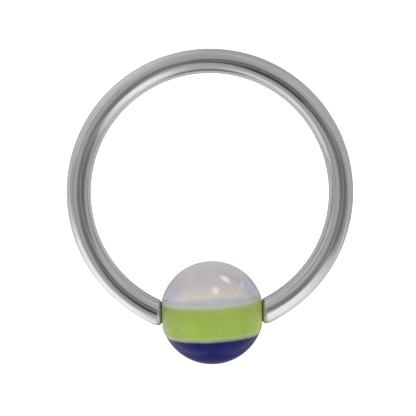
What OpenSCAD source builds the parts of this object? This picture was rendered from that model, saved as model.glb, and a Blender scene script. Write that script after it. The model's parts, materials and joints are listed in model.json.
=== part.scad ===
// Captive bead ring: a hoop of round wire, open at one place, whose two ends are sprung
// into the dimples of a ball laminated from five layers. All sizes are in millimetres.
// It lies on its side as it does on a table, with the bead towards -Y: the bead's lowest
// point and the far side of the wire rest at z = 0, so the hoop leans.

/* [Wire hoop] */
// Thickness of the round wire
wire_d = 1.2; // [0.8:0.1:2]
// Clear diameter inside the hoop
inner_d = 11.5; // [9:0.5:16]
// Radius of the rounding round each cut end of the wire
end_round = 0.26; // [0.1:0.02:0.34]

/* [Bead] */
// Diameter of the bead
bead_d = 5; // [4:0.5:8]
// Depth of the middle of each wire end below the bead's round surface
end_depth = 0.12; // [0.04:0.02:0.2]
// Distance of the bead's centre inside the line from one wire end to the other
bead_lift = 0.05; // [0:0.01:0.1]
// Point angle of the drill that sank the dimples
drill_angle = 118; // [100:2:140]

/* [Bead layers] */
// Reach of the green band below the bead's centre
band_low = 0.87; // [0.6:0.01:1.2]
// Reach of the green band above the bead's centre
band_high = 0.565; // [0.4:0.005:1.2]
// Thickness of the pale seam on each side of the green band
seam_t = 0.22; // [0.1:0.02:0.4]
// Turn of the bead about its dimples, which brings the pearl cap forward
layer_tilt = 10; // [-90:1:90]
// Slant of the layers against the line through the dimples
layer_roll = 2; // [-5:0.5:5]

/* [Fit] */
// Running gap between a wire end and the wall of its dimple
end_gap = 0.03; // [0.02:0.01:0.1]

/* [Hidden] */
$fn = 128;

wire_r = wire_d / 2;
bead_r = bead_d / 2;
// Radius of the wire's centre line
hoop_r = (inner_d + wire_d) / 2;

// The wire's ends are cut square to the bead's axis, this far from the bead's centre
end_x = bead_r - end_depth;
// Distance of the bead's centre from the hoop's centre
bead_y = sqrt(hoop_r ^ 2 - end_x ^ 2) - bead_lift;

// The cut's edge is rounded by an arc that is turned about a line along the bead's axis.
// It meets the face at a slight angle, and its centre lies arc_back behind the face.
face_lean = 20;
arc_back = end_round * cos(face_lean);
// The wire's inner and outer side beside that centre
arc_x = end_x + arc_back;
arc_near_y = sqrt((hoop_r - wire_r) ^ 2 - arc_x ^ 2);
arc_far_y = sqrt((hoop_r + wire_r) ^ 2 - arc_x ^ 2);
// The line that the arc is turned about runs midway between the two, and the arc's centre
// lies arc_in off that line, so that the arc ends edge_spare outside the wire
edge_spare = 0.01;
arc_y = (arc_near_y + arc_far_y) / 2;
arc_in = (arc_far_y - arc_near_y) / 2 + edge_spare - end_round;

// The dimple is a drilled cone, which clears the wire by end_gap where the wire comes
// nearest to it: on the side of the hoop's centre, tip_h off the bead's axis
drill_half = drill_angle / 2;
tip_h = arc_in + bead_y - arc_y;
dimple_point_x = arc_x - (end_round + end_gap + tip_h * cos(drill_half)) / sin(drill_half);
// How far the cone is drawn out, which is past the bead's surface
dimple_reach = wire_d / tan(drill_half);

// Where the bend starts, which is within what is cut away for the bead
bend_start = asin((end_x - wire_r) / (hoop_r + wire_r));

// How the ring lies: the lean that lets both the bead and the far wire touch the table,
// and the hoop's centre, set so that the origin is under the middle of the whole.
lean = asin((bead_r - wire_r) / (bead_y + hoop_r));
centre_z = wire_r + hoop_r * sin(lean);
near_y = bead_y * cos(lean) + bead_r;
far_y = hoop_r * cos(lean) + wire_r;
centre_y = (near_y - far_y) / 2;

// Takes a shape from the hoop's own plane, with the bead towards -Y, to where it lies
module lay_down() {
    translate([0, centre_y, centre_z])
        rotate([-lean, 0, 0])
            children();
}

// What is cut out of the wire for the bead
module bead_cut() {
    translate([-end_x, -hoop_r - wire_d, -wire_d])
        cube([2 * end_x, hoop_r, 2 * wire_d]);
}

// What is ground off round the right-hand cut end of the wire
module edge_cut() {
    translate([end_x, -arc_y, 0])
        rotate([0, 90, 0])
            rotate_extrude()
                difference() {
                    translate([arc_in, -end_round])
                        square([wire_d, arc_back + end_round]);
                    translate([arc_in, arc_back])
                        circle(end_round);
                }
}

// Wire bent into a hoop and cut open for the bead
module hoop() {
    color("silver")
        lay_down()
            difference() {
                rotate([0, 0, bend_start - 90])
                    rotate_extrude(angle = 360 - 2 * bend_start)
                        translate([hoop_r, 0])
                            circle(wire_r);
                bead_cut();
                edge_cut();
                rotate([0, 180, 0])
                    edge_cut();
            }
}

// One dimple, drilled into the bead along +X
module dimple() {
    rotate([0, 90, 0])
        rotate_extrude()
            polygon([
                [0, dimple_point_x],
                [wire_d, dimple_point_x + dimple_reach],
                [0, dimple_point_x + dimple_reach]
            ]);
}

// The slice of the bead between two heights above its centre, with its share of the dimples
module bead_layer(low, high) {
    lay_down()
        translate([0, -bead_y, 0])
            difference() {
                rotate([layer_tilt - 90, 0, layer_roll])
                    intersection() {
                        sphere(bead_r);
                        translate([-bead_d, -bead_d, low])
                            cube([2 * bead_d, 2 * bead_d, high - low]);
                    }
                dimple();
                mirror([1, 0, 0])
                    dimple();
            }
}

// Clear, pearly top of the bead, on the side of the hoop's centre
module pearl_cap() {
    color("gainsboro")
        bead_layer(band_high + seam_t, bead_d);
}

// Pale layer between the pearly cap and the green band
module upper_seam() {
    color("ivory")
        bead_layer(band_high, band_high + seam_t);
}

// Wide green middle of the bead, which the dimples are sunk into
module green_band() {
    color("darkkhaki")
        bead_layer(-band_low, band_high);
}

// Pale layer between the green band and the navy cap
module lower_seam() {
    color("beige")
        bead_layer(-band_low - seam_t, -band_low);
}

// Dark outer end of the bead
module navy_cap() {
    color("midnightblue")
        bead_layer(-bead_d, -band_low - seam_t);
}

hoop();
pearl_cap();
upper_seam();
green_band();
lower_seam();
navy_cap();
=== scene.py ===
import json
from math import asin, cos, pi, radians, sin, sqrt, tan

import bmesh
import bpy
import numpy as np
from mathutils import Matrix, Vector


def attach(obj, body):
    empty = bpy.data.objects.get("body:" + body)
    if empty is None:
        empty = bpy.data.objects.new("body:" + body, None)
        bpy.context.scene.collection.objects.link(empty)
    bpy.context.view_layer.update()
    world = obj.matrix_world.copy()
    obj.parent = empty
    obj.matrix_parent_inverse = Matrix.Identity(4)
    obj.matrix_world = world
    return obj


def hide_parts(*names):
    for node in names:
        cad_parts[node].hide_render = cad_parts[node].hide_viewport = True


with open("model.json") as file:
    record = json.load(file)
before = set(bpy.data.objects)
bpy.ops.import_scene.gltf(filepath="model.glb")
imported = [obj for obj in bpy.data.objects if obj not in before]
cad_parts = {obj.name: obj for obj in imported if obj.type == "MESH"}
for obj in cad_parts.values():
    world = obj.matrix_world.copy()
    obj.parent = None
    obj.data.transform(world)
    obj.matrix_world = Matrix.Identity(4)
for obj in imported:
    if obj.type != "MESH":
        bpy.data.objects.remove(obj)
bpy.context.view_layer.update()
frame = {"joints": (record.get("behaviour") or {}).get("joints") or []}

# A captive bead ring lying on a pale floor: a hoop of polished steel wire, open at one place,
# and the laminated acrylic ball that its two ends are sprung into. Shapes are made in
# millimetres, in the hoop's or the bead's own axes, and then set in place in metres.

MM = 0.001
# Degrees in a radian
DEGREES = 180 / pi

# Wire hoop, in millimetres: radius of the wire, clear radius inside the hoop, and radius of the
# rounding round each cut end
WIRE_R = 0.6
INNER_R = 5.75
END_ROUND = 0.26

# Bead, in millimetres: its radius, the depth of the wire ends below its round surface, how far
# its centre lies inside the line between the wire ends, and the rounding of each dimple's rim
BEAD_R = 2.5
END_DEPTH = 0.12
BEAD_LIFT = 0.05
RIM_ROUND = 0.02

# Dimples: half of the drill's point angle, the gap to the wire's rounded edge, the slight angle
# at which that edge meets the cut face, and how far outside the wire it ends, in millimetres
DRILL_HALF = radians(59)
END_GAP = 0.03
FACE_LEAN = radians(20)
EDGE_SPARE = 0.01

# Layers of the bead: how far the green band reaches below and above the bead's centre, the
# thickness of the pale seams, and the bead's turn about its dimples and slant against them
BAND_LOW = 0.87
BAND_HIGH = 0.565
SEAM = 0.22
LAYER_TILT = radians(10)
LAYER_ROLL = radians(2)

# Fineness of the wire: steps along it and round it, rings on each cut face as shares of the
# face's radius, and steps over the face's rounded edge
HOOP_STEPS = 440
WIRE_SIDES = 96
FACE_RINGS = (0.3, 0.6, 0.9)
EDGE_STEPS = 16

# Fineness of the bead: steps round it and along it, steps over the rim of each dimple, and
# rings in the dimple as shares of its depth
BEAD_SIDES = 240
BEAD_STEPS = 150
RIM_STEPS = 9
CONE_RINGS = (0.8, 0.6, 0.4, 0.2, 0.08)

# Camera and picture: the picture's side in pixels, its scale at the bead, the place of the
# hoop's centre from the top left corner, the camera's roll, and its lens and sensor in mm
PICTURE = 416
PX_PER_MM = 20.66
RING_PX = (209.85, 192.0)
ROLL = radians(1.0)
LENS = 400.0
SENSOR = 36.0

# Values stored at the points of the wire
WIRE_PLACE = "wire_place"
GROUND = "ground"


# Where the hoop and the bead lie

HOOP_R = INNER_R + WIRE_R
CUT_X = BEAD_R - END_DEPTH
CUT_ANGLE = asin(CUT_X / HOOP_R)
BEAD_OFF = HOOP_R * cos(CUT_ANGLE) - BEAD_LIFT
LEAN = asin((BEAD_R - WIRE_R) / (BEAD_OFF + HOOP_R))

joint = next(j for j in frame["joints"] if j["name"] == "bead_spin")
bead_centre = Vector(joint["pos_m"])
lying = Matrix.Rotation(-LEAN, 4, "X")
AWAY = lying @ Vector((0, 1, 0))
FACING = lying @ Vector((0, 0, 1))
hoop_centre = bead_centre + AWAY * (BEAD_OFF * MM)

to_metres = Matrix.Scale(MM, 4)
HOOP_PLACE = Matrix.Translation(hoop_centre) @ lying @ to_metres
layers_turn = Matrix.Rotation(LAYER_ROLL, 4, "Z") @ Matrix.Rotation(LAYER_TILT - pi / 2, 4, "X")
LAYER_PLACE = Matrix.Translation(bead_centre) @ lying @ layers_turn @ to_metres


# Meshes

def add_piece(name, mesh, body, slot, *nodes):
    """The object of a finished mesh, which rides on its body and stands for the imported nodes."""
    piece = bpy.data.objects.new(name, mesh)
    bpy.context.scene.collection.objects.link(piece)
    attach(piece, body)
    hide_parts(*nodes)
    return piece


def smooth(mesh, crease=radians(35)):
    """Smooth shading, but for edges sharper than the crease."""
    mesh.shade_smooth()
    mesh.set_sharp_from_angle(angle=crease)


def hoop_rows(sides):
    """Rows of points round the wire, from cut face to cut face.

    A row gives each side's angle round the hoop and its distance from the wire's middle.
    """
    # The cut is oblique, and its sharper corner, on the hoop's outer side, is rounded most
    outwards = np.cos(sides)
    rounding = END_ROUND / np.tan(pi / 4 - CUT_ANGLE / 2 * outwards)
    flat = WIRE_R - rounding
    end = [(0 * sides, flat * share) for share in FACE_RINGS]
    for turn in np.linspace(0, pi / 2, EDGE_STEPS):
        end.append((rounding * (1 - cos(turn)), flat + rounding * sin(turn)))
    start = [
        (np.arcsin((CUT_X + back) / (HOOP_R + radius * outwards)), radius)
        for back, radius in end
    ]
    first = start[-1][0]
    shares = np.linspace(0, 1, HOOP_STEPS + 1)[1:-1]
    bend = [(first + share * 2 * (pi - first), WIRE_R + 0 * sides) for share in shares]
    return start + bend + [(2 * pi - angle, radius) for angle, radius in reversed(start)]


def hoop_mesh():
    """The wire, with each point's place in it stored for its material, and where it was ground."""
    sides = np.arange(WIRE_SIDES) * 2 * pi / WIRE_SIDES
    rings = hoop_rows(sides)
    points, places = [], []

    def add_point(angle, radius, side):
        out = HOOP_R + radius * cos(side)
        points.append((out * sin(angle), -out * cos(angle), radius * sin(side)))
        places.append((radius * cos(side), radius * sin(side), HOOP_R * angle))

    for angles, radii in rings:
        for angle, radius, side in zip(angles, radii, sides):
            add_point(angle, radius, side)
    add_point(CUT_ANGLE, 0.0, 0.0)
    add_point(2 * pi - CUT_ANGLE, 0.0, 0.0)

    faces = []
    last = (len(rings) - 1) * WIRE_SIDES
    first_tip = len(rings) * WIRE_SIDES
    for k in range(WIRE_SIDES):
        after = (k + 1) % WIRE_SIDES
        faces.append((first_tip, k, after))
        faces.append((first_tip + 1, last + after, last + k))
        for row in range(0, last, WIRE_SIDES):
            faces.append((row + k, row + WIRE_SIDES + k, row + WIRE_SIDES + after, row + after))

    mesh = bpy.data.meshes.new("wire_hoop")
    mesh.from_pydata(points, [], faces)
    stored = mesh.attributes.new(WIRE_PLACE, "FLOAT_VECTOR", "POINT")
    stored.data.foreach_set("vector", np.array(places, np.float32).ravel())
    # Where the ends were ground: 1 on the cut face and its rounding, 0 along the wire
    end_points = (len(FACE_RINGS) + EDGE_STEPS - 1) * WIRE_SIDES
    ground = np.ones(len(points), np.float32)
    ground[end_points:last + WIRE_SIDES - end_points] = 0
    mesh.attributes.new(GROUND, "FLOAT", "POINT").data.foreach_set("value", ground)
    mesh.transform(HOOP_PLACE)
    smooth(mesh)
    return mesh


def dimple_point():
    """Distance from the bead's centre to the point of a dimple, which clears the wire's edge."""
    arc_x = CUT_X + END_ROUND * cos(FACE_LEAN)
    near = sqrt(INNER_R ** 2 - arc_x ** 2)
    far = sqrt((INNER_R + 2 * WIRE_R) ** 2 - arc_x ** 2)
    tip_off = (far - near) / 2 + EDGE_SPARE - END_ROUND + BEAD_OFF - (near + far) / 2
    return arc_x - (END_ROUND + END_GAP + tip_off * cos(DRILL_HALF)) / sin(DRILL_HALF)


def bead_outline():
    """Half of the bead's section, from its middle plane to the point of a dimple.

    Each point gives its distance along the dimples' line and its distance off it.
    """
    point_x = dimple_point()
    inner = BEAD_R - RIM_ROUND
    rim_turn = DRILL_HALF - asin((point_x * sin(DRILL_HALF) - RIM_ROUND) / inner)
    ball = [
        (BEAD_R * cos(turn), BEAD_R * sin(turn))
        for turn in np.linspace(pi / 2, rim_turn, BEAD_STEPS // 2)
    ]
    rim_x, rim_off = inner * cos(rim_turn), inner * sin(rim_turn)
    rim = [
        (rim_x + RIM_ROUND * cos(turn), rim_off + RIM_ROUND * sin(turn))
        for turn in np.linspace(rim_turn, DRILL_HALF - pi / 2, RIM_STEPS)[1:]
    ]
    end_x, end_off = rim[-1]
    cone = [
        (point_x + (end_x - point_x) * share, end_off * share)
        for share in CONE_RINGS
    ]
    return ball + rim + cone, point_x


def bead_whole():
    """The whole bead with both dimples, in the axes of its layers."""
    half, point_x = bead_outline()
    outline = [(-x, off) for x, off in reversed(half[1:])] + half
    sides = np.arange(BEAD_SIDES) * 2 * pi / BEAD_SIDES
    points = [(x, off * cos(side), off * sin(side)) for x, off in outline for side in sides]
    points += [(-point_x, 0.0, 0.0), (point_x, 0.0, 0.0)]
    last = (len(outline) - 1) * BEAD_SIDES
    first_tip = len(outline) * BEAD_SIDES
    faces = []
    for k in range(BEAD_SIDES):
        after = (k + 1) % BEAD_SIDES
        faces.append((first_tip, after, k))
        faces.append((first_tip + 1, last + k, last + after))
        for row in range(0, last, BEAD_SIDES):
            faces.append((row + k, row + after, row + BEAD_SIDES + after, row + BEAD_SIDES + k))
    mesh = bpy.data.meshes.new("bead")
    mesh.from_pydata(points, [], faces)
    mesh.transform(layers_turn.inverted())
    return mesh


def bead_layer(whole, name, low, high):
    """The slice of the whole bead between two heights above its centre."""
    bm = bmesh.new()
    bm.from_mesh(whole)
    for height, outwards in ((low, -1), (high, 1)):
        if abs(height) < BEAD_R:
            everything = bm.verts[:] + bm.edges[:] + bm.faces[:]
            bmesh.ops.bisect_plane(
                bm,
                geom=everything,
                dist=1e-5,
                plane_co=(0, 0, height),
                plane_no=(0, 0, outwards),
                clear_outer=True,
            )
            rim = [e for e in bm.edges if e.is_boundary]
            bmesh.ops.holes_fill(bm, edges=rim, sides=0)
    bmesh.ops.recalc_face_normals(bm, faces=bm.faces[:])
    mesh = bpy.data.meshes.new(name)
    bm.to_mesh(mesh)
    bm.free()
    mesh.transform(LAYER_PLACE)
    smooth(mesh)
    return mesh


# Shader nodes

def rgb(red, green, blue):
    """A colour as a picture has it, from 0 to 255, in the linear values that Blender takes."""
    def linear(value):
        share = value / 255
        return share / 12.92 if share <= 0.04045 else ((share + 0.055) / 1.055) ** 2.4
    return (linear(red), linear(green), linear(blue), 1.0)


def add(tree, kind, inputs=None, **settings):
    """A new shader node. An input is given a value, or another node's output to follow."""
    made = tree.nodes.new("ShaderNode" + kind)
    for name, value in settings.items():
        setattr(made, name, value)
    for name, value in (inputs or {}).items():
        if isinstance(value, bpy.types.NodeSocket):
            tree.links.new(value, made.inputs[name])
        else:
            made.inputs[name].default_value = value
    return made


def maths(tree, operation, *values):
    """The outcome of an operation on numbers."""
    return add(tree, "Math", dict(enumerate(values)), operation=operation).outputs[0]


def vector_maths(tree, operation, *values):
    """The node of an operation on vectors, whose outcome is a vector or a number."""
    return add(tree, "VectorMath", dict(enumerate(values)), operation=operation)


def ease(tree, value, low, high, to_low=0.0, to_high=1.0):
    """Goes smoothly from to_low, where value is at most low, to to_high, where it is at least high."""
    inputs = {"Value": value, "From Min": low, "From Max": high, "To Min": to_low, "To Max": to_high}
    return add(tree, "MapRange", inputs, interpolation_type="SMOOTHSTEP").outputs["Result"]


def product(tree, first, *others):
    """All the values multiplied together."""
    for other in others:
        first = maths(tree, "MULTIPLY", first, other)
    return first


def grey(tree, tone):
    """The colour whose red, green and blue are all the tone."""
    return add(tree, "CombineColor", {"Red": tone, "Green": tone, "Blue": tone}).outputs[0]


def blend(tree, share, first, second, mode="MIX"):
    """Goes from the first colour, where share is 0, to the second, or to the two as mode joins them."""
    # The node has sockets for each kind of data, and these are the ones for colours
    mix = add(tree, "Mix", {0: share, 6: first, 7: second}, data_type="RGBA", blend_type=mode)
    return mix.outputs[2]


def noise(tree, place, scale, detail, roughness=0.5, distortion=0.0):
    inputs = {
        "Vector": place,
        "Scale": scale,
        "Detail": detail,
        "Roughness": roughness,
        "Distortion": distortion,
    }
    return add(tree, "TexNoise", inputs).outputs[0]


def ramp(tree, value, *stops):
    """A run of colours: each stop is (value, colour)."""
    low, high = stops[0][0], stops[-1][0]
    share = add(tree, "MapRange", {"Value": value, "From Min": low, "From Max": high}).outputs["Result"]
    made = add(tree, "ValToRGB", {"Fac": share})
    made.color_ramp.interpolation = "EASE"
    elements = made.color_ramp.elements
    elements[0].position, elements[0].color = 0.0, stops[0][1]
    elements[1].position, elements[1].color = 1.0, stops[-1][1]
    for at, colour in stops[1:-1]:
        stop = elements.new((at - low) / (high - low))
        stop.color = colour
    return made.outputs["Color"]


def new_material(name):
    """A material with one surface: the material, its nodes, and the surface to feed."""
    material = bpy.data.materials.new(name)
    material.use_nodes = True
    tree = material.node_tree
    tree.nodes.clear()
    surface = add(tree, "BsdfPrincipled")
    output = add(tree, "OutputMaterial")
    tree.links.new(surface.outputs["BSDF"], output.inputs["Surface"])
    return material, tree, surface


def feed(tree, surface, **inputs):
    """Sets the surface's inputs. A name's underscores stand for spaces."""
    for name, value in inputs.items():
        socket = surface.inputs[name.replace("_", " ")]
        if isinstance(value, bpy.types.NodeSocket):
            tree.links.new(value, socket)
        else:
            socket.default_value = value


# Materials

def polished_steel():
    """Drawn wire, polished: mirror-like, with fine lines along it left by the die and the mop."""
    material, tree, surface = new_material("polished_steel")
    place = add(tree, "Attribute", attribute_name=WIRE_PLACE).outputs["Vector"]
    # Marks are drawn out along the wire
    stretched = vector_maths(tree, "MULTIPLY", place, (1, 1, 0.06)).outputs[0]
    lines = noise(tree, stretched, 9, detail=4, roughness=0.6)
    bands = noise(tree, stretched, 2.2, detail=1)
    smears = noise(tree, place, 0.6, detail=2)
    tone = maths(tree, "MULTIPLY_ADD", bands, 0.6, product(tree, lines, 0.4))
    colour = ramp(tree, tone, (0.3, (0.38, 0.38, 0.385, 1)), (0.7, (0.54, 0.54, 0.54, 1)))
    rough = maths(
        tree, "ADD",
        ease(tree, lines, 0.3, 0.75, to_low=0.10, to_high=0.17),
        ease(tree, smears, 0.4, 0.7, to_low=0.0, to_high=0.04),
    )
    # The ground ends are duller
    ground = add(tree, "Attribute", attribute_name=GROUND).outputs["Fac"]
    rough = maths(tree, "MULTIPLY_ADD", ground, 0.22, rough)
    colour = blend(tree, ground, colour, (0.46, 0.46, 0.45, 1))
    relief = add(tree, "Bump", {"Strength": 0.35, "Distance": 0.004 * MM, "Height": lines})
    feed(
        tree, surface,
        Base_Color=colour,
        Metallic=maths(tree, "MULTIPLY_ADD", ground, -0.2, 1.0),
        Roughness=rough,
        Normal=relief.outputs[0],
    )
    return material


def layer_place(tree):
    """The place in the bead, in millimetres.

    At rest, x runs along the dimples, -y towards the camera and z up through the layers.
    """
    place = add(tree, "TexCoord").outputs["Object"]
    turn = add(tree, "Mapping", {"Vector": place}, vector_type="TEXTURE")
    turn.inputs["Location"].default_value = LAYER_PLACE.to_translation()
    turn.inputs["Rotation"].default_value = LAYER_PLACE.to_euler("XYZ")
    turn.inputs["Scale"].default_value = (MM, MM, MM)
    return turn.outputs[0]


def polish(tree, place, surface, gloss):
    """The polished skin of the ball: fine tumbling marks in its gloss, and slight waviness."""
    marks = noise(tree, place, 14, detail=5, roughness=0.7, distortion=1.5)
    waves = noise(tree, place, 1.4, detail=1)
    height = maths(tree, "MULTIPLY_ADD", marks, 0.06, waves)
    relief = add(tree, "Bump", {"Strength": 0.4, "Distance": 0.02 * MM, "Height": height})
    feed(
        tree, surface,
        Roughness=ease(tree, marks, 0.35, 0.75, to_low=0.05, to_high=0.13),
        Normal=relief.outputs[0],
        IOR=1.49,
        Specular_IOR_Level=gloss,
    )


def painted_highlight_mask(tree, place, centre, along, half_length, half_width):
    """The mask of a painted highlight: 1 in the middle of a long soft patch about a point of the bead,
    and 0 outside it.
    """
    along = Vector(along).normalized()
    out = vector_maths(tree, "SUBTRACT", place, centre).outputs[0]
    length = vector_maths(tree, "DOT_PRODUCT", out, along).outputs["Value"]
    crosswise = vector_maths(tree, "CROSS_PRODUCT", out, along).outputs[0]
    width = vector_maths(tree, "LENGTH", crosswise).outputs["Value"]
    length = maths(tree, "POWER", maths(tree, "DIVIDE", length, half_length), 2)
    width = maths(tree, "POWER", maths(tree, "DIVIDE", width, half_width), 2)
    return ease(tree, maths(tree, "ADD", length, width), 0, 1.3, to_low=1, to_high=0)


def pearl_acrylic():
    """Clear acrylic with a pearly shimmer, whose faint colours lie in bands over the layer under it,
    and two painted highlights.
    """
    material, tree, surface = new_material("pearl_acrylic")
    place = layer_place(tree)
    parts = add(tree, "SeparateXYZ", {"Vector": place})
    across = product(tree, parts.outputs["X"], parts.outputs["X"])
    # The bands sag towards the two sides, and waver a little
    warp = noise(tree, place, 0.9, detail=3, roughness=0.55)
    order = maths(tree, "MULTIPLY_ADD", across, 0.04, parts.outputs["Z"])
    order = maths(tree, "ADD", order, ease(tree, warp, 0.2, 0.8, to_low=-0.03, to_high=0.03))
    tint = ramp(
        tree, order,
        (0.78, rgb(170, 172, 163)),
        (0.86, rgb(171, 171, 178)),
        (1.02, rgb(173, 172, 174)),
        (1.14, rgb(188, 187, 173)),
        (1.30, rgb(187, 182, 171)),
        (1.44, rgb(185, 177, 174)),
        (1.66, rgb(177, 173, 174)),
        (2.60, rgb(179, 175, 172)),
    )
    # Towards the two sides the bands turn purple
    side = product(
        tree,
        ease(tree, across, 1.4, 3.4),
        ease(tree, order, 0.9, 1.2),
        ease(tree, order, 1.6, 2.0, to_low=1, to_high=0),
        0.8,
    )
    tint = blend(tree, side, tint, rgb(171, 167, 184))
    # Two painted highlights: soft bright patches painted into the pearl's colour, fixed to the bead
    bright_painted_highlight = painted_highlight_mask(
        tree, place,
        centre=(0.72, -1.50, 1.87),
        along=(0.78, -0.30, -0.55),
        half_length=0.36,
        half_width=0.20,
    )
    tint = blend(tree, bright_painted_highlight, tint, rgb(218, 212, 211))
    faint_painted_highlight = painted_highlight_mask(
        tree, place,
        centre=(1.51, -1.28, 1.53),
        along=(0.1, 0.5, 0.8),
        half_length=0.24,
        half_width=0.11,
    )
    tint = blend(tree, faint_painted_highlight, tint, rgb(196, 192, 194))
    # Random flakes over the tint, which already holds the painted highlights
    flakes = add(tree, "TexVoronoi", {"Vector": place, "Scale": 7.0}).outputs["Color"]
    flakes_and_painted_highlights = blend(tree, 0.05, tint, flakes, "SOFT_LIGHT")
    clouds = noise(tree, place, 1.6, detail=4, roughness=0.6)
    cloudy = ramp(tree, clouds, (0.3, (0.94, 0.93, 0.94, 1)), (0.7, (1.02, 1.02, 1.01, 1)))
    polish(tree, place, surface, gloss=0.5)
    feed(
        tree, surface,
        Base_Color=blend(tree, 1.0, flakes_and_painted_highlights, cloudy, "MULTIPLY"),
        Subsurface_Weight=0.5,
        Subsurface_Radius=(1.0, 1.0, 1.0),
        Subsurface_Scale=0.5 * MM,
    )
    return material


def solid_acrylic(name, mottle, gloss, sides, *stops):
    """A coloured layer, whose colour changes with the height above the bead's centre.

    Sides are painted shade: its tones at the far left and the far right, next to that in the middle.
    """
    material, tree, surface = new_material(name)
    place = layer_place(tree)
    parts = add(tree, "SeparateXYZ", {"Vector": place})
    warp = ease(tree, noise(tree, place, 2.5, detail=2), 0.3, 0.7, to_low=-0.02, to_high=0.02)
    height = maths(tree, "ADD", parts.outputs["Z"], warp)
    colour = ramp(tree, height, *stops)
    clouds = noise(tree, place, 1.1, detail=4, roughness=0.55)
    light = (1.0 + mottle, 1.0 + mottle, 1.0, 1.0)
    dark = (1.0 - mottle, 1.0 - mottle, 1.0 - 0.5 * mottle, 1.0)
    cloudy = ramp(tree, clouds, (0.3, dark), (0.7, light))
    # Painted shade: darker towards the far left and far right of the ball
    left = ease(tree, parts.outputs["X"], -2.4, -1.2, to_low=sides[0], to_high=1)
    right = ease(tree, parts.outputs["X"], 1.2, 2.4, to_low=1, to_high=sides[1])
    cloudy = blend(tree, 1.0, cloudy, grey(tree, product(tree, left, right)), "MULTIPLY")
    polish(tree, place, surface, gloss)
    feed(
        tree, surface,
        Base_Color=blend(tree, 1.0, colour, cloudy, "MULTIPLY"),
        Subsurface_Weight=0.25,
        Subsurface_Radius=(1.0, 1.0, 1.0),
        Subsurface_Scale=0.25 * MM,
    )
    return material


def green_acrylic():
    return solid_acrylic(
        # Name, mottle, gloss, then painted shade at the far left and right
        "green_acrylic", 0.05, 0.18, (0.84, 1.0),
        (-0.87, rgb(144, 160, 102)),
        (-0.80, rgb(137, 158, 70)),
        (-0.30, rgb(138, 161, 71)),
        (0.35, rgb(139, 156, 76)),
        (0.50, rgb(141, 157, 86)),
        (0.565, rgb(153, 162, 118)),
    )


def pale_acrylic():
    return solid_acrylic(
        "pale_acrylic", 0.02, 0.18, (1.0, 1.0),
        (-1.09, rgb(78, 86, 108)),
        (-1.01, rgb(128, 138, 118)),
        (-0.87, rgb(147, 161, 106)),
        (0.565, rgb(157, 164, 126)),
        (0.68, rgb(167, 170, 150)),
        (0.785, rgb(168, 170, 162)),
    )


def navy_acrylic():
    return solid_acrylic(
        # Name, mottle, gloss, then painted shade at the far left and right
        "navy_acrylic", 0.08, 0.07, (0.6, 0.6),
        (-2.5, rgb(32, 33, 80)),
        (-1.6, rgb(24, 25, 86)),
        (-1.16, rgb(20, 19, 81)),
        (-1.09, rgb(42, 46, 86)),
    )


# Floor, light and camera

def floor_material():
    """Matt white board with a faint grain, lit up to plain white where the camera sees it.

    Its tones, painted shade and painted light among them, show only in what the ring reflects.
    """
    material, tree, surface = new_material("white_board")
    place = add(tree, "TexCoord").outputs["Object"]
    grain = noise(tree, place, 900, detail=3)
    parts = add(tree, "SeparateXYZ", {"Vector": place})
    out = vector_maths(tree, "LENGTH", place).outputs["Value"]
    beside = maths(tree, "ABSOLUTE", parts.outputs["X"])
    # Painted shade under the bead and before it, and painted light to the left and right of that
    front = ease(tree, parts.outputs["Y"], -7 * MM, 0, to_low=1, to_high=0)
    painted_shade_and_light = ease(tree, beside, 2.5 * MM, 5.5 * MM, to_low=-0.55, to_high=0.20)
    tone = maths(tree, "MULTIPLY_ADD", front, painted_shade_and_light, FLOOR_TONE)
    tone = maths(tree, "MULTIPLY_ADD", grain, 0.03, tone)
    # Painted shade: darker round the outside of the hoop, on its right, but not before the bead
    painted_outer_shade = product(
        tree,
        ease(tree, out, 6.4 * MM, 7.4 * MM),
        ease(tree, parts.outputs["X"], -4 * MM, 1 * MM),
        ease(tree, parts.outputs["Y"], -6 * MM, -2 * MM),
    )
    tone = maths(tree, "MULTIPLY_ADD", painted_outer_shade, -0.18, tone)
    # Painted light: a bright patch outside the hoop, on its left and in front, that glows only in what
    # the ring reflects
    ray = add(tree, "LightPath")
    painted_light_patch = product(
        tree,
        ease(tree, parts.outputs["X"], -4.5 * MM, -2 * MM, to_low=1, to_high=0),
        ease(tree, parts.outputs["Y"], -6 * MM, -2 * MM, to_low=1, to_high=0),
        ease(tree, out, 6.2 * MM, 7.4 * MM),
        ray.outputs["Is Glossy Ray"],
        PAINTED_LIGHT_GLOW,
    )
    glow = maths(tree, "MULTIPLY_ADD", ray.outputs["Is Camera Ray"], FLOOR_GLOW, painted_light_patch)
    feed(
        tree, surface,
        Base_Color=grey(tree, tone),
        Roughness=0.9,
        Specular_IOR_Level=0.0,
        Emission_Color=(1, 1, 1, 1),
        Emission_Strength=glow,
    )
    return material


def add_floor(reach=3.0):
    mesh = bpy.data.meshes.new("floor")
    corners = [(-reach, -reach, 0), (reach, -reach, 0), (reach, reach, 0), (-reach, reach, 0)]
    mesh.from_pydata(corners, [], [(0, 1, 2, 3)])
    mesh.materials.append(floor_material())
    floor = bpy.data.objects.new("floor", mesh)
    bpy.context.scene.collection.objects.link(floor)


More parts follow.
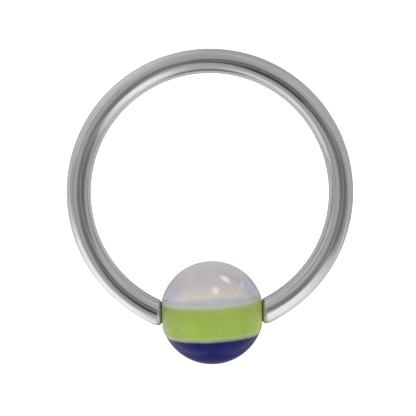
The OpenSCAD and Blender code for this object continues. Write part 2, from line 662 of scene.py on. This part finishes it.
# What stands round the ring in the studio, by direction from it: the azimuth round the camera's
# line of sight, from the right and anticlockwise, and the angle off that line, in degrees. Each
# is an arc of light or shade with soft edges, and later ones lie over earlier ones. Cover is how
# much of what is behind it the arc hides.
STUDIO = (
    # Thin dark edges of the tent's panels
    dict(azimuth=188, half_width=62, near=45, far=53, soft=6, radiance=0.10, cover=0.5),
    dict(azimuth=148, half_width=32, near=82, far=98, soft=10, radiance=0.20, cover=0.4),
    # Dimmer stretches of the tent, to the left and to the right
    dict(azimuth=188, half_width=40, near=50, far=84, soft=14, radiance=0.35, cover=0.25),
    dict(azimuth=0, half_width=36, near=64, far=104, soft=16, radiance=0.60, cover=0.60),
    # Pale panels: to the left, low on the left, low on the right
    dict(azimuth=138, half_width=26, near=54, far=80, soft=10, radiance=1.05, cover=0.7),
    dict(azimuth=226, half_width=36, near=62, far=140, soft=16, radiance=1.20, cover=1.0),
    dict(azimuth=311, half_width=20, near=34, far=140, soft=14, radiance=1.20, cover=0.9),
    # Windows
    dict(azimuth=217, half_width=22, near=79, far=108, soft=12, radiance=1.85, cover=1.0),
    dict(azimuth=301, half_width=15, near=40, far=125, soft=22, radiance=1.65, cover=1.0),
)
# Radiance of the tent, its share of that round the camera, and the radiance of dark things
ROOM = 0.83
ROUND_CAMERA = 0.68
DARK = 0.07
# Dark bars straight ahead: the camera on its arm, and an arm out to it. Each runs along an
# azimuth, and is measured in sines of the angle off the line of sight.
CAMERA_BAR = dict(azimuth=234, half_width=0.15, side_soft=0.16, start=-0.28, end=0.55, end_soft=0.30)
ARM_BAR = dict(azimuth=-46, half_width=0.08, side_soft=0.10, start=0.08, end=0.48, end_soft=0.12)
ARM_DEPTH = 0.6
# Who works the camera, as a dark oval in the same measure: its middle and half its size
PERSON_X, PERSON_Y = 0.62, -0.06
PERSON_HALF_X, PERSON_HALF_Y = 0.31, 0.42
PERSON_DEPTH = 0.70
# The floor's own tone, what it adds where the camera sees it, and what its painted light patch adds
FLOOR_TONE = 0.81
FLOOR_GLOW = 0.85
PAINTED_LIGHT_GLOW = 0.3


def studio_world():
    """A pale tent with its windows and its dark opening, which holds the camera and who works it."""
    world = bpy.data.worlds.new("studio")
    bpy.context.scene.world = world
    world.use_nodes = True
    tree = world.node_tree
    tree.nodes.clear()
    towards = add(tree, "TexCoord").outputs["Generated"]
    level = add(tree, "VectorRotate", {"Vector": towards, "Angle": LEAN}, rotation_type="X_AXIS")
    ahead = add(tree, "SeparateXYZ", {"Vector": level.outputs[0]}).outputs
    off = product(tree, maths(tree, "ARCCOSINE", ahead["Z"]), DEGREES)

    def turned(azimuth):
        """The direction's parts in axes that are turned to an azimuth."""
        inputs = {"Vector": level.outputs[0], "Angle": radians(-azimuth)}
        spun = add(tree, "VectorRotate", inputs, rotation_type="Z_AXIS").outputs[0]
        return add(tree, "SeparateXYZ", {"Vector": spun}).outputs

    def within(value, low, high, soft):
        """1 where value lies between low and high, and 0 outside, with soft edges."""
        rise = ease(tree, value, low - soft / 2, low + soft / 2)
        fall = ease(tree, value, high - soft / 2, high + soft / 2, to_low=1, to_high=0)
        return product(tree, rise, fall)

    def bar(azimuth, half_width, side_soft, start, end, end_soft):
        """1 on a straight bar along an azimuth."""
        axes = turned(azimuth)
        across = within(axes["Y"], -half_width, half_width, side_soft)
        return product(tree, across, within(axes["X"], start, end, end_soft))

    def arc(azimuth, half_width, near, far, soft):
        """1 on an arc round the line of sight, between two angles off it."""
        axes = turned(azimuth)
        past = product(tree, maths(tree, "ARCTAN2", axes["Y"], axes["X"]), DEGREES)
        return product(tree, within(past, -half_width, half_width, soft), within(off, near, far, soft))

    def oval(middle_x, middle_y, half_x, half_y):
        """0 in the middle of an oval and 1 on its edge."""
        beside = maths(tree, "DIVIDE", maths(tree, "SUBTRACT", ahead["X"], middle_x), half_x)
        above = maths(tree, "DIVIDE", maths(tree, "SUBTRACT", ahead["Y"], middle_y), half_y)
        return maths(
            tree, "SQRT",
            maths(tree, "MULTIPLY_ADD", beside, beside, product(tree, above, above)),
        )

    def cover(light, share, radiance):
        """The light with something of a given radiance before it, to the given share."""
        return maths(tree, "MULTIPLY_ADD", share, maths(tree, "SUBTRACT", radiance, light), light)

    light = ease(tree, off, -10, 60, to_low=ROOM * ROUND_CAMERA, to_high=ROOM)

    # The camera, whose lens is a little lighter, and to the right who works it
    camera = product(tree, bar(**CAMERA_BAR), ease(tree, off, 3, 11, to_low=0.34, to_high=0.97))
    body = oval(PERSON_X, PERSON_Y, PERSON_HALF_X, PERSON_HALF_Y)
    person = ease(tree, body, 0.5, 1.3, to_low=PERSON_DEPTH, to_high=0)
    arm = product(tree, bar(**ARM_BAR), ARM_DEPTH)
    dark = maths(tree, "MAXIMUM", camera, maths(tree, "MAXIMUM", person, arm))
    # All of it stands on the camera's side of the ring
    dark = product(tree, dark, ease(tree, ahead["Z"], 0.0, 0.2))
    light = cover(light, dark, DARK)

    for row in STUDIO:
        share = arc(row["azimuth"], row["half_width"], row["near"], row["far"], row["soft"])
        light = cover(light, product(tree, share, row["cover"]), row["radiance"])

    # The camera itself sees a plain white room behind the floor
    light = cover(light, add(tree, "LightPath").outputs["Is Camera Ray"], 1.0)
    background = add(tree, "Background", {"Strength": light, "Color": (1, 1, 1, 1)})
    output = add(tree, "OutputWorld")
    tree.links.new(background.outputs[0], output.inputs["Surface"])


def add_sun(name, azimuth, height, spread, strength):
    """A soft lamp, by its azimuth round the ring and its height above the floor, in degrees."""
    lamp = bpy.data.lights.new(name, "SUN")
    lamp.energy = strength
    lamp.angle = radians(spread)
    holder = bpy.data.objects.new(name, lamp)
    bpy.context.scene.collection.objects.link(holder)
    flat = cos(radians(height))
    towards = Vector((cos(radians(azimuth)) * flat, sin(radians(azimuth)) * flat, sin(radians(height))))
    holder.rotation_mode = "QUATERNION"
    holder.rotation_quaternion = towards.to_track_quat("Z", "Y")
    holder.visible_glossy = False


def add_spark(name, azimuth, off, width, height, radiance, tint, lit):
    """A small oval lamp that glints in the polish of what it lights.

    Its direction is given as in the studio, and its width and height in degrees.
    """
    # How far off it stands, in metres
    reach = 0.1
    lamp = bpy.data.lights.new(name, "AREA")
    lamp.shape = "ELLIPSE"
    lamp.size = 2 * reach * tan(radians(width / 2))
    lamp.size_y = 2 * reach * tan(radians(height / 2))
    area = pi / 4 * lamp.size * lamp.size_y
    lamp.energy = radiance * pi * area
    lamp.color = tint
    holder = bpy.data.objects.new(name, lamp)
    bpy.context.scene.collection.objects.link(holder)
    flat = sin(radians(off))
    level = Vector((cos(radians(azimuth)) * flat, sin(radians(azimuth)) * flat, cos(radians(off))))
    towards = lying @ level
    across = FACING.cross(towards).normalized()
    turn = Matrix((across, towards.cross(across), towards)).transposed()
    holder.matrix_world = Matrix.LocRotScale(bead_centre + towards * reach, turn, None)
    holder.visible_camera = False
    holder.light_linking.receiver_collection = lit


def add_camera():
    """Stands straight over the bead, and has the hoop's centre at its place in the picture."""
    data = bpy.data.cameras.new("camera")
    data.lens = LENS
    data.sensor_width = SENSOR
    camera = bpy.data.objects.new("camera", data)
    bpy.context.scene.collection.objects.link(camera)
    bpy.context.scene.camera = camera
    px = MM / PX_PER_MM
    distance = PICTURE * px * LENS / SENSOR
    up = Matrix.Rotation(-ROLL, 3, FACING) @ AWAY
    beside = (PICTURE / 2 - RING_PX[0]) * px
    above = (RING_PX[1] - PICTURE / 2) * px
    aim = hoop_centre + up.cross(FACING) * beside + up * above
    place = bead_centre + FACING * distance
    back = (place - aim).normalized()
    right = up.cross(back).normalized()
    turn = Matrix((right, back.cross(right), back)).transposed()
    camera.matrix_world = Matrix.LocRotScale(place, turn, None)
    data.clip_start = 10 * MM
    data.clip_end = 10


# The object

add_camera()

hoop = hoop_mesh()
hoop.materials.append(polished_steel())
add_piece("wire_hoop", hoop, "hoop", "steel_wire", "hoop")

LAYERS = (
    ("navy_cap", -BEAD_R, -BAND_LOW - SEAM, "navy_acrylic", navy_acrylic()),
    ("lower_seam", -BAND_LOW - SEAM, -BAND_LOW, "pale_acrylic", pale_acrylic()),
    ("green_band", -BAND_LOW, BAND_HIGH, "green_acrylic", green_acrylic()),
    ("upper_seam", BAND_HIGH, BAND_HIGH + SEAM, "pale_acrylic", pale_acrylic()),
    ("pearl_cap", BAND_HIGH + SEAM, BEAD_R, "pearl_acrylic", pearl_acrylic()),
)
whole_bead = bead_whole()
bead_pieces = bpy.data.collections.new("bead_pieces")
for node, low, high, slot, material in LAYERS:
    layer = bead_layer(whole_bead, "bead_" + node, low, high)
    layer.materials.append(material)
    bead_pieces.objects.link(add_piece("bead_" + node, layer, "bead", slot, node))
bpy.data.meshes.remove(whole_bead)

add_floor()
studio_world()
add_sun("key", azimuth=225, height=55, spread=60, strength=0.4)
add_sun("top", azimuth=90, height=78, spread=110, strength=1.3)
add_spark(
    "spark",
    azimuth=80,
    off=50,
    width=14,
    height=17,
    radiance=4.9,
    tint=(0.97, 0.92, 1.0),
    lit=bead_pieces,
)
bpy.context.scene.view_settings.view_transform = "Standard"
